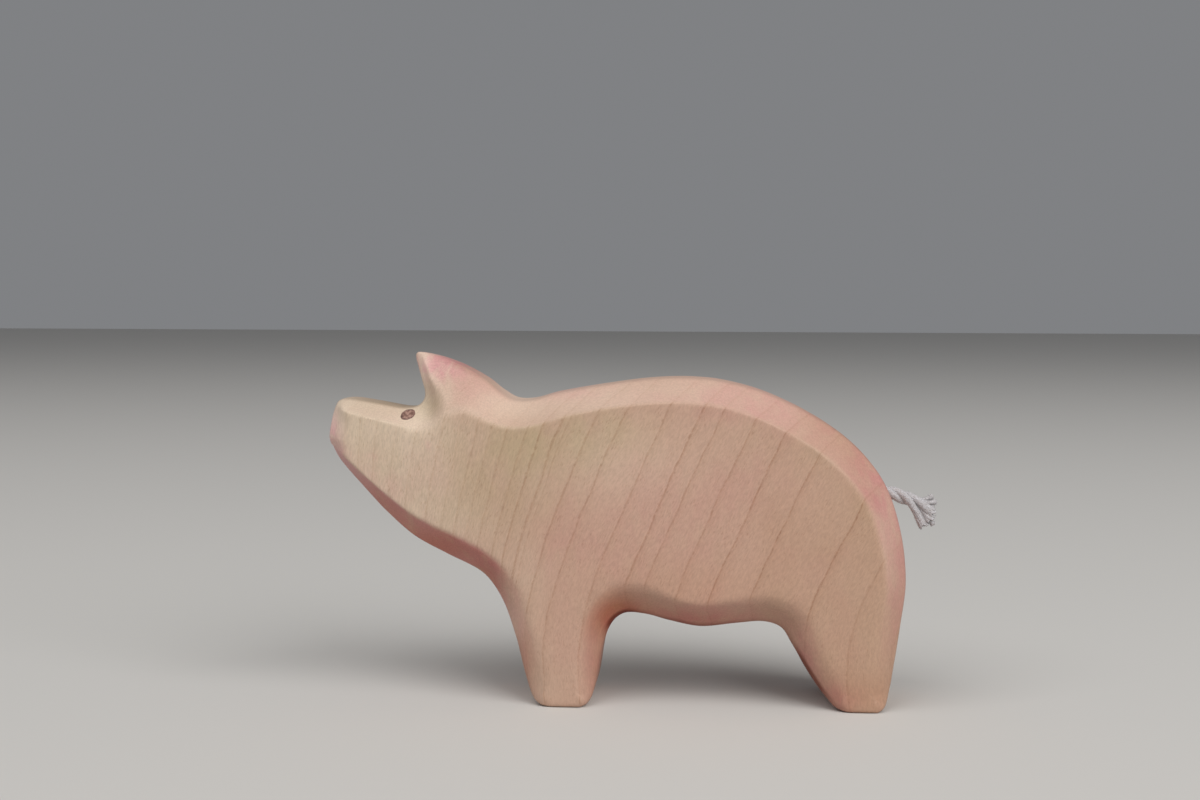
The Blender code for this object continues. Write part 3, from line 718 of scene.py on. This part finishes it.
mapleFinish = {
    "head": linearColour(205, 184, 161),
    "flank": linearColour(192, 158, 137),
    "rump": linearColour(184, 150, 126),
    "olive": linearColour(178, 160, 124),
    # paler wood, also the colour of the painted light on bevels that face up
    "paleWoodAndLight": linearColour(244, 226, 205),
    # rubbed wood and a painted highlight at the bevels' inner edges
    "wornAndSheen": linearColour(226, 206, 184),
    "pinkFilter": (0.99, 0.66, 0.83),
    # painted shade under chin and belly, beside the legs and on the hind foot
    "deepFilter": (0.78, 0.52, 0.38),
    # painted shade on the rim of the brow
    "rimFilter": (0.66, 0.64, 0.60),
    # dark red-brown stain with painted shade on the rims of ear, belly and legs
    "deepRimFilter": (0.42, 0.24, 0.20),
    "lineFilter": (0.74, 0.64, 0.56),
    "bandFilter": (0.93, 0.90, 0.87),
    "fleckFilter": (0.78, 0.72, 0.67),
    # noise: scales along the pig, across it and upwards, detail, roughness
    "drift": ((0.06, 0.06, 0.05), 3.0, 0.5),
    "mottle": ((0.16, 0.16, 0.10), 3.0, 0.5),
    "blotch": ((0.30, 0.30, 0.16), 4.0, 0.6),
    "wash": ((0.11, 0.11, 0.07), 3.0, 0.5),
    "driftReach": 50.0,  # how far the ground colours wander along the pig
    # ramps: from, to, and the value at each end
    "headToFlank": (-52.0, -12.0),
    "flankToRump": (18.0, 50.0),
    "mottleRamp": (0.30, 0.60, 0.45, 1.0),
    "blotchRamp": (0.30, 0.68, 0.45, 1.15),
    "washRamp": (0.45, 0.70, 0.0, 0.10),
    "wornAndSheenRamp": (0.35, 0.60, 0.35, 1.0),
    "underStain": (0.0, 1.0, 1.0, 0.38),  # the figure on the flat sides and on the bevels
    "fibreRamp": (0.30, 0.70, 0.90, 1.09),
    "roughRamp": (0.2, 0.8, 0.58, 0.48),
    "oliveMost": 0.75,
    "wornLoss": -0.45,
    "wornAndSheenMost": 0.13,
    "bandMost": 0.7,
    "lineMost": 0.74,
    "fleckMost": 0.8,
    "specular": 0.32,
    "bumpStrength": 0.6,
    "fibreBump": 0.010,  # millimetres
}


def mapleMaterial():
    finish = mapleFinish
    material, tree = newMaterial("stainedMaple")
    work = partial(calc, tree)
    times = partial(work, "MULTIPLY")
    place = placeInWood(tree)
    figure = useGroup(tree, figureGroup, {"Place": place})

    def noiseOf(name):
        return cloud(tree, place, *finish[name])

    def rampOf(value, name):
        return ramp(tree, value, *finish[name])

    # the ground colours of head, flank and rump, then olive wood, and paler wood with painted light, over
    # them
    x = putNode(tree, "ShaderNodeSeparateXYZ", {0: place}).outputs[0]
    x = work("MULTIPLY_ADD", work("SUBTRACT", noiseOf("drift"), 0.5), finish["driftReach"], x)
    colour = blend(tree, rampOf(x, "headToFlank"), finish["head"], finish["flank"])
    colour = blend(tree, rampOf(x, "flankToRump"), colour, finish["rump"])
    olive = times(surfaceValue(tree, "olive"), rampOf(noiseOf("mottle"), "mottleRamp"))
    colour = blend(tree, times(olive, finish["oliveMost"]), colour, finish["olive"])
    # paler wood, and painted light on the bevels that face up
    colour = blend(tree, surfaceValue(tree, "paleWoodAndLight"), colour, finish["paleWoodAndLight"])

    # thin pink stain, blotchy, rubbed off where the bevels meet the sides
    blotch = noiseOf("blotch")
    stain = times(surfaceValue(tree, "pink"), rampOf(blotch, "blotchRamp"))
    stain = work("ADD", stain, rampOf(noiseOf("wash"), "washRamp"))
    wornAndSheen = times(surfaceValue(tree, "edge"), rampOf(blotch, "wornAndSheenRamp"))
    stain = times(stain, work("MULTIPLY_ADD", wornAndSheen, finish["wornLoss"], 1.0))
    colour = blend(tree, work("MINIMUM", stain, 1.0), colour, finish["pinkFilter"], "MULTIPLY")
    # a lighter band along the same edges: rubbed wood and a painted highlight
    colour = blend(tree, times(wornAndSheen, finish["wornAndSheenMost"]), colour, finish["wornAndSheen"])
    # painted shade under chin and belly, painted shade on the brow's rim, and dark red-brown stain with
    # painted shade on the rims of ear, belly and legs
    for mask in ("deep", "rim", "deepRim"):
        colour = blend(tree, surfaceValue(tree, mask), colour, finish[mask + "Filter"], "MULTIPLY")

    # the figure of the wood over it, fainter under the stain of the bevels
    cover = rampOf(surfaceValue(tree, "bevel"), "underStain")
    fibre = rampOf(figure["Fibre"], "fibreRamp")
    shade = putNode(tree, "ShaderNodeCombineColor", {0: fibre, 1: fibre, 2: fibre}).outputs[0]
    colour = blend(tree, 1.0, colour, shade, "MULTIPLY")
    for mask in ("band", "line", "fleck"):
        amount = times(figure[mask.capitalize()], times(cover, finish[mask + "Most"]))
        colour = blend(tree, amount, colour, finish[mask + "Filter"], "MULTIPLY")
    rough = rampOf(figure["Fibre"], "roughRamp")
    normal = bump(tree, finish["bumpStrength"], finish["fibreBump"], figure["Height"])
    return finishMaterial(material, {"Base Color": colour, "Roughness": rough, "Normal": normal,
                                     "Specular IOR Level": finish["specular"]})


wood, cutLines = makeWood()
wood.data.materials.append(mapleMaterial())
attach(wood, "root")
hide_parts("body")


# the painted eyes: a dab of thin brown paint on each brow bevel

eyeDab = {
    "place": (-46.0, 59.05),
    "halfLong": 1.48,
    "halfShort": 0.98,
    "slant": 12.0,
    "lift": 0.035,  # crown of the paint, over a ground that clears the waves of the sanding
    "ground": 0.10,
    "edgeDrop": 0.04,
    "sunk": 0.12,  # its underside, inside the wood
    "rings": 9,
    "sides": 48,
    "wobble": 0.07,
    "wobbleRate": 2.2,
    "slopeStep": 0.05,
    "paint": linearColour(116, 84, 73),
    "paintEdge": linearColour(84, 56, 50),
    "thin": linearColour(170, 134, 120),
}


def makeEye(name, node, hand):
    dab = eyeDab
    slant = math.radians(dab["slant"])
    sides, rings, rate = dab["sides"], dab["rings"], dab["wobbleRate"]
    flat = []
    shares = []
    for ring in range(1, rings + 1):
        share = ring / rings
        for side in range(sides):
            angle = 2 * math.pi * side / sides
            sample = Vector((rate * math.cos(angle), rate * math.sin(angle), 5.0 * hand))
            wobble = 1 + dab["wobble"] * noise.noise(sample)
            along = dab["halfLong"] * share * wobble * math.cos(angle)
            across = dab["halfShort"] * share * wobble * math.sin(angle)
            flat.append((dab["place"][0] + along * math.cos(slant) - across * math.sin(slant),
                         dab["place"][1] + along * math.sin(slant) + across * math.cos(slant)))
            shares.append(share)
    flat.append(dab["place"])
    shares.append(0.0)
    flat = np.array(flat)
    shares = np.array(shares)
    step = dab["slopeStep"]
    half = carve(cutLines, flat)[0]
    slopeX = (carve(cutLines, flat + (step, 0))[0] - half) / step
    slopeZ = (carve(cutLines, flat + (0, step))[0] - half) / step
    normals = np.column_stack([-slopeX, np.ones(len(flat)), -slopeZ])
    normals /= np.linalg.norm(normals, axis=1)[:, None]
    surface = np.column_stack([flat[:, 0], half, flat[:, 1]])
    # a thin lens of paint on the wood, crowned and turned down at its edge
    domed = dab["lift"] * (1 - shares ** 6) + dab["ground"]
    upper = surface + normals * (domed - dab["edgeDrop"] * shares ** 12)[:, None]
    lower = surface - normals * dab["sunk"]
    count = len(flat)
    points = np.concatenate([upper, lower])
    points[:, 1] *= hand
    faces = []
    for base, way in ((0, 1), (count, -1)):
        for side in range(sides):
            after = (side + 1) % sides
            faces.append((base + count - 1, base + side, base + after)[::way])
            for ring in range(rings - 1):
                inner, outer = base + ring * sides, base + (ring + 1) * sides
                quad = (inner + side, outer + side, outer + after, inner + after)
                faces.append(quad[::way])
    last = (rings - 1) * sides
    for side in range(sides):
        after = (side + 1) % sides
        faces.append((last + side, count + last + side, count + last + after, last + after))
    if hand > 0:
        faces = [face[::-1] for face in faces]
    mesh = bpy.data.meshes.new(name)
    mesh.from_pydata((points * mm).tolist(), [], faces)
    mesh.update()
    mesh.shade_smooth()
    putAttribute(mesh, "outwards", np.tile(shares, 2))
    piece = putObject(name, mesh)
    piece.data.materials.append(eyePaint)
    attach(piece, "root")
    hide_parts(node)


def eyePaintMaterial():
    material, tree = newMaterial("eyePaint")
    place = placeInWood(tree)
    figure = useGroup(tree, figureGroup, {"Place": place})
    blots = cloud(tree, place, (1.6, 1.6, 1.1), 3.0)
    colour = blend(tree, ramp(tree, blots, 0.36, 0.64), eyeDab["paint"], eyeDab["thin"])
    border = ramp(tree, surfaceValue(tree, "outwards"), 0.55, 1.0)
    border = calc(tree, "MULTIPLY", border, ramp(tree, blots, 0.30, 0.60, 1.0, 0.55))
    colour = blend(tree, border, colour, eyeDab["paintEdge"])
    flecks = calc(tree, "MULTIPLY", figure["Fleck"], 0.5)
    colour = blend(tree, flecks, colour, (0.6, 0.5, 0.45), "MULTIPLY")
    rough = ramp(tree, blots, 0.3, 0.7, 0.42, 0.55)
    normal = bump(tree, 0.5, 0.01, figure["Height"])
    return finishMaterial(material, {"Base Color": colour, "Roughness": rough, "Normal": normal})


eyePaint = eyePaintMaterial()
makeEye("eyePaintLeft", "eye_left", -1.0)
makeEye("eyePaintRight", "eye_right", 1.0)
print("eyes painted")


# the tail: plies of soft cotton yarns, splayed and frayed where they are cut off

cottonTail = {
    "exit": (52.9, 0.0, 43.3),
    "route": [(-8.5, 0.0, 2.1), (-4.5, 0.0, 1.1), (0.0, 0.0, 0.05), (2.6, 0.1, -0.65), (4.8, 0.0, -1.6),
              (6.3, 0.0, -2.9), (7.7, -0.1, -4.9)],
    "plyEnds": [(7.7, -0.2, -7.0), (8.9, -0.4, -5.9), (9.4, -0.2, -4.3)],
    "tufts": [[(5.6, -0.3, -1.7), (8.0, -0.3, -1.9), (9.9, -0.1, -1.8)],
              [(5.6, 0.2, -1.4), (7.6, 0.3, -1.35), (9.2, 0.5, -0.75)],
              [(6.0, 0.0, -2.1), (7.9, 0.0, -2.5), (9.3, 0.0, -2.9)],
              [(7.4, -0.4, -4.4), (8.6, -0.6, -5.4), (9.3, -0.5, -6.4)]],
    "tuftSize": 0.42,
    "twist": 660.0,  # degrees from end to end, a little less past the splay
    "twistEase": 0.35,
    "phase": 79.4,
    "splayStart": 0.72,
    "splayPower": 1.3,
    "plyOffset": 0.70,
    "points": 112,
    "tuftPoints": 20,
    "spanSteps": 16,
    "yarns": 18,
    "yarnRadius": 0.20,
    "yarnSides": 6,
    "plyRadius": 0.57,
    "yarnTwist": -3.0,  # turns of the yarns round their ply
    "trim": (0.95, 1.0),  # where a yarn is cut off, as a share of its length
    "fray": 0.9,
    "looseRamp": (0.72, 1.04),
    "loosePower": 1.2,
    "looseReach": 0.9,  # how much wider than its ply a frayed end is
    "wander": (0.8, 0.3),  # waves of a loose yarn and of a laid one, as shares of the ply's radius
    "wanderScale": 420.0,  # per metre
    "wanderApart": 3.0,
    "lumpScale": 2600.0,  # per metre
    "lumpHeight": 0.7,  # as a share of the yarn's radius
    "fuzz": 3.4,  # fibres for each square millimetre
    "fuzzFrom": 51.0,  # none ahead of this place, which the hole hides
    "fuzzLength": 0.55,
    "fuzzSizes": (0.35, 1.0),
    "fuzzTilt": 0.9,
    "fuzzRadius": 0.02,  # as a share of the length
    "seed": 11,
    "shadow": linearColour(172, 166, 164),
    "light": linearColour(210, 209, 210),
    "warm": linearColour(240, 236, 234),
    "cool": linearColour(252, 252, 255),
}


# the plies' paths, laid round the cord's own line, and the small tufts at its cut end
def tailPaths():
    tail = cottonTail
    origin = Vector(tail["exit"])

    def evenPath(knots, count):
        fine = [knots[0]]
        for span in smoothSpans(knots, tail["spanSteps"]):
            fine += span[1:]
        return [Vector(place) for place in evenLine(np.array(fine), count=count, axes=3)]

    line = evenPath([origin + Vector(point) for point in tail["route"]], tail["points"])
    across = Vector((0.0, 1.0, 0.0))
    last = len(line) - 1
    paths = []
    for ply, ending in enumerate(tail["plyEnds"]):
        end = origin + Vector(ending)
        path = []
        for index, centre in enumerate(line):
            share = index / last
            along = (line[min(index + 1, last)] - line[max(index - 1, 0)]).normalized()
            past = max(share - tail["splayStart"], 0.0)
            opened = (past / (1.0 - tail["splayStart"])) ** tail["splayPower"]
            turned = tail["phase"] + tail["twist"] * (share - tail["twistEase"] * past)
            angle = 2 * math.pi * ply / len(tail["plyEnds"]) + math.radians(turned)
            laid = (across * math.cos(angle) + along.cross(across) * math.sin(angle)) * tail["plyOffset"]
            path.append(centre + laid * (1.0 - opened) + (end - line[last]) * opened)
        paths.append((path, 1.0))
    for tuft in tail["tufts"]:
        path = evenPath([origin + Vector(point) for point in tuft], tail["tuftPoints"])
        paths.append((path, tail["tuftSize"]))
    return paths


def cottonMaterial():
    tail = cottonTail
    material, tree = newMaterial("softCotton")
    fibres = cloud(tree, placeInWood(tree), (4.0, 4.0, 4.0), 4.0, 0.7)
    colour = blend(tree, ramp(tree, fibres, 0.3, 0.7), tail["shadow"], tail["light"])
    tone = blend(tree, surfaceValue(tree, "tone"), tail["warm"], tail["cool"])
    colour = blend(tree, 1.0, colour, tone, "MULTIPLY")
    return finishMaterial(material, {"Base Color": colour, "Roughness": 0.9, "Specular IOR Level": 0.15,
                                     "Sheen Weight": 0.25, "Sheen Roughness": 0.5,
                                     "Normal": bump(tree, 0.7, 0.03, fibres)})


# Geometry Nodes: lays yarns round each ply, opens them at the cut end and sets loose fibres on them
def frayedCordTree(material):
    tail = cottonTail
    geometry = ("Geometry", "Geometry")
    labels = ("Yarn Radius", "Ply Radius", "Yarn Turns", "Fray", "Fuzz Density", "Fuzz Length", "Fuzz From")
    inputs = [geometry, ("Yarns", "Int"), ("Seed", "Int"), *((label, "Float") for label in labels)]
    tree, given, result = newGroup("frayedCord", inputs, [geometry], "GeometryNodeTree")
    work = partial(calc, tree)
    times = partial(work, "MULTIPLY")

    def node(kind, inputs=None, **settings):
        return putNode(tree, kind, inputs, **settings).outputs

    def vector(operation, *values):
        keys = (0, "Scale") if operation == "SCALE" else (0, 1)
        return node("ShaderNodeVectorMath", dict(zip(keys, values)), operation=operation)[0]

    def random(kind, low, high, **inputs):
        ends = {0: low, 1: high} if kind == "FLOAT_VECTOR" else {2: low, 3: high}
        made = node("FunctionNodeRandomValue", {**ends, "Seed": given["Seed"], **inputs}, data_type=kind)
        return made[0 if kind == "FLOAT_VECTOR" else 1]

    copies = node("GeometryNodeDuplicateElements", {"Geometry": given["Geometry"], "Amount": given["Yarns"]},
                  domain="SPLINE")
    share = node("GeometryNodeSplineParameter")["Factor"]
    tangent = node("GeometryNodeInputTangent")[0]
    normal = node("GeometryNodeInputNormal")[0]
    position = node("GeometryNodeInputPosition")[0]
    yarn = copies["Duplicate Index"]
    turn = work("MULTIPLY_ADD", given["Yarn Turns"], share, work("DIVIDE", yarn, given["Yarns"]))
    turn = times(turn, 2 * math.pi)
    outwards = vector("ADD", vector("SCALE", normal, work("COSINE", turn)),
                      vector("SCALE", vector("CROSS_PRODUCT", tangent, normal), work("SINE", turn)))

    # past the splay the yarns part from each other and wave about
    loose = work("POWER", ramp(tree, share, *tail["looseRamp"]), tail["loosePower"])
    loose = times(loose, given["Fray"])
    size = node("GeometryNodeInputRadius")[0]
    reach = times(times(given["Ply Radius"], size), work("MULTIPLY_ADD", loose, tail["looseReach"], 1.0))
    sample = vector("ADD", vector("SCALE", position, tail["wanderScale"]),
                    vector("SCALE", outwards, tail["wanderApart"]))
    wander = node("ShaderNodeTexNoise", {"Vector": sample, "Detail": 1.0, "Scale": 1.0})["Color"]
    wander = vector("SUBTRACT", wander, (0.5, 0.5, 0.5))
    waves = times(work("MULTIPLY_ADD", loose, *tail["wander"]), given["Ply Radius"])
    offset = vector("ADD", vector("SCALE", outwards, reach), vector("SCALE", wander, waves))
    laid = node("GeometryNodeSetPosition", {"Geometry": copies["Geometry"], "Offset": offset})[0]

    # each yarn is cut off at its own length and has its own tone
    cut = random("FLOAT", *tail["trim"], ID=yarn)
    trimmed = node("GeometryNodeTrimCurve", {"Curve": laid, "End": cut}, mode="FACTOR")[0]
    tone = random("FLOAT", 0.0, 1.0, ID=yarn)
    toned = node("GeometryNodeStoreNamedAttribute", {"Geometry": trimmed, "Name": "tone", "Value": tone},
                 data_type="FLOAT", domain="POINT")[0]
    circle = {"Resolution": tail["yarnSides"], "Radius": given["Yarn Radius"]}
    profile = node("GeometryNodeCurvePrimitiveCircle", circle, mode="RADIUS")[0]
    sweep = {"Curve": toned, "Profile Curve": profile, "Fill Caps": True}
    yarns = node("GeometryNodeCurveToMesh", sweep)[0]
    sample = vector("SCALE", position, tail["lumpScale"])
    lumps = node("ShaderNodeTexNoise", {"Vector": sample, "Detail": 1.0, "Scale": 1.0})["Fac"]
    height = times(given["Yarn Radius"], tail["lumpHeight"])
    swell = vector("SCALE", normal, times(work("SUBTRACT", lumps, 0.5), height))
    lumpy = node("GeometryNodeSetPosition", {"Geometry": yarns, "Offset": swell})[0]

    # loose fibres, a little bent, standing off the yarns
    x = node("ShaderNodeSeparateXYZ", {0: position})[0]
    bare = work("GREATER_THAN", x, given["Fuzz From"])
    spread = {"Mesh": lumpy, "Selection": bare, "Density": given["Fuzz Density"], "Seed": given["Seed"]}
    points = node("GeometryNodeDistributePointsOnFaces", spread)
    fibre = node("GeometryNodeCurvePrimitiveBezierSegment",
                 {"Resolution": 3, "Start": (0, 0, 0), "Start Handle": (0, 0, 0.35),
                  "End Handle": (0.25, 0.1, 0.6), "End": (0.6, 0.1, 0.75)})[0]
    circle = {"Resolution": 3, "Radius": tail["fuzzRadius"]}
    hair = node("GeometryNodeCurvePrimitiveCircle", circle, mode="RADIUS")[0]
    sweep = {"Curve": fibre, "Profile Curve": hair, "Fill Caps": True}
    fibre = node("GeometryNodeCurveToMesh", sweep)[0]
    tilt = tail["fuzzTilt"]
    spin = random("FLOAT_VECTOR", (-tilt, -tilt, 0.0), (tilt, tilt, 6.283))
    turned = {0: points["Rotation"], 1: spin}
    aimed = node("FunctionNodeRotateRotation", turned, rotation_space="LOCAL")[0]
    length = times(random("FLOAT", *tail["fuzzSizes"]), given["Fuzz Length"])
    fuzz = node("GeometryNodeInstanceOnPoints",
                {"Points": points[0], "Instance": fibre, "Rotation": aimed, "Scale": length})[0]

    joined = putNode(tree, "GeometryNodeJoinGeometry")
    for part in (lumpy, fuzz):
        tree.links.new(part, joined.inputs[0])
    solid = node("GeometryNodeRealizeInstances", {0: joined.outputs[0]})[0]
    finished = node("GeometryNodeSetMaterial", {"Geometry": solid, "Material": material})[0]
    tree.links.new(finished, result[0])
    return tree


def makeTail():
    tail = cottonTail
    curve = bpy.data.curves.new("tailPlies", "CURVE")
    curve.dimensions = "3D"
    for path, size in tailPaths():
        spline = curve.splines.new("POLY")
        spline.points.add(len(path) - 1)
        for point, place in zip(spline.points, path):
            point.co = (*(place * mm), 1.0)
            point.radius = size
    plies = putObject("tailPlies", curve)
    tree = frayedCordTree(cottonMaterial())
    modifier = plies.modifiers.new("frayedCord", "NODES")
    modifier.node_group = tree
    values = {"Yarns": tail["yarns"], "Yarn Turns": tail["yarnTwist"], "Fray": tail["fray"],
              "Seed": tail["seed"], "Yarn Radius": tail["yarnRadius"] * mm,
              "Ply Radius": tail["plyRadius"] * mm, "Fuzz Density": tail["fuzz"] / mm ** 2,
              "Fuzz Length": tail["fuzzLength"] * mm, "Fuzz From": tail["fuzzFrom"] * mm}
    for item in tree.interface.items_tree:
        if item.in_out == "INPUT" and item.name in values:
            modifier[item.identifier] = values[item.name]
    mesh = bpy.data.meshes.new_from_object(plies.evaluated_get(bpy.context.evaluated_depsgraph_get()))
    mesh.name = "cottonCord"
    bpy.data.objects.remove(plies, do_unlink=True)
    mesh.shade_smooth()
    piece = putObject("cottonCord", mesh)
    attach(piece, "root")
    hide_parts("tail")
    print("tail:", len(mesh.polygons), "faces")


makeTail()


# floor and light

studio = {
    "floor": linearColour(206, 203, 198),
    "world": linearColour(214, 216, 220),
    "worldStrength": 0.32,
    "aim": (0.0, 0.0, 0.035),
    # name, place, size, power
    "lights": [
        ("rightLight", (1.1, -1.2, 1.28), 1.6, 31.0),
        ("leftLight", (-0.8, -1.0, 1.8), 1.6, 19.0),
    ],
}


def makeStudio():
    reach = 6.0
    corners = [(-reach, -reach, 0), (reach, -reach, 0), (reach, reach, 0), (-reach, reach, 0)]
    mesh = bpy.data.meshes.new("floor")
    mesh.from_pydata(corners, [], [(0, 1, 2, 3)])
    floor = putObject("floor", mesh)
    looks = {"Base Color": (*studio["floor"], 1.0), "Roughness": 0.85}
    mesh.materials.append(finishMaterial(newMaterial("paleFloor")[0], looks))
    for name, place, size, power in studio["lights"]:
        lamp = bpy.data.lights.new(name, "AREA")
        lamp.size = size
        lamp.energy = power
        light = putObject(name, lamp)
        light.location = place
        light.rotation_euler = (Vector(studio["aim"]) - Vector(place)).to_track_quat("-Z", "Y").to_euler()
    world = bpy.data.worlds.new("studio")
    world.use_nodes = True
    back = world.node_tree.nodes["Background"]
    back.inputs["Color"].default_value = (*studio["world"], 1.0)
    back.inputs["Strength"].default_value = studio["worldStrength"]
    bpy.context.scene.world = world
    bpy.context.scene.view_settings.view_transform = "Standard"


makeStudio()
print("studio ready")
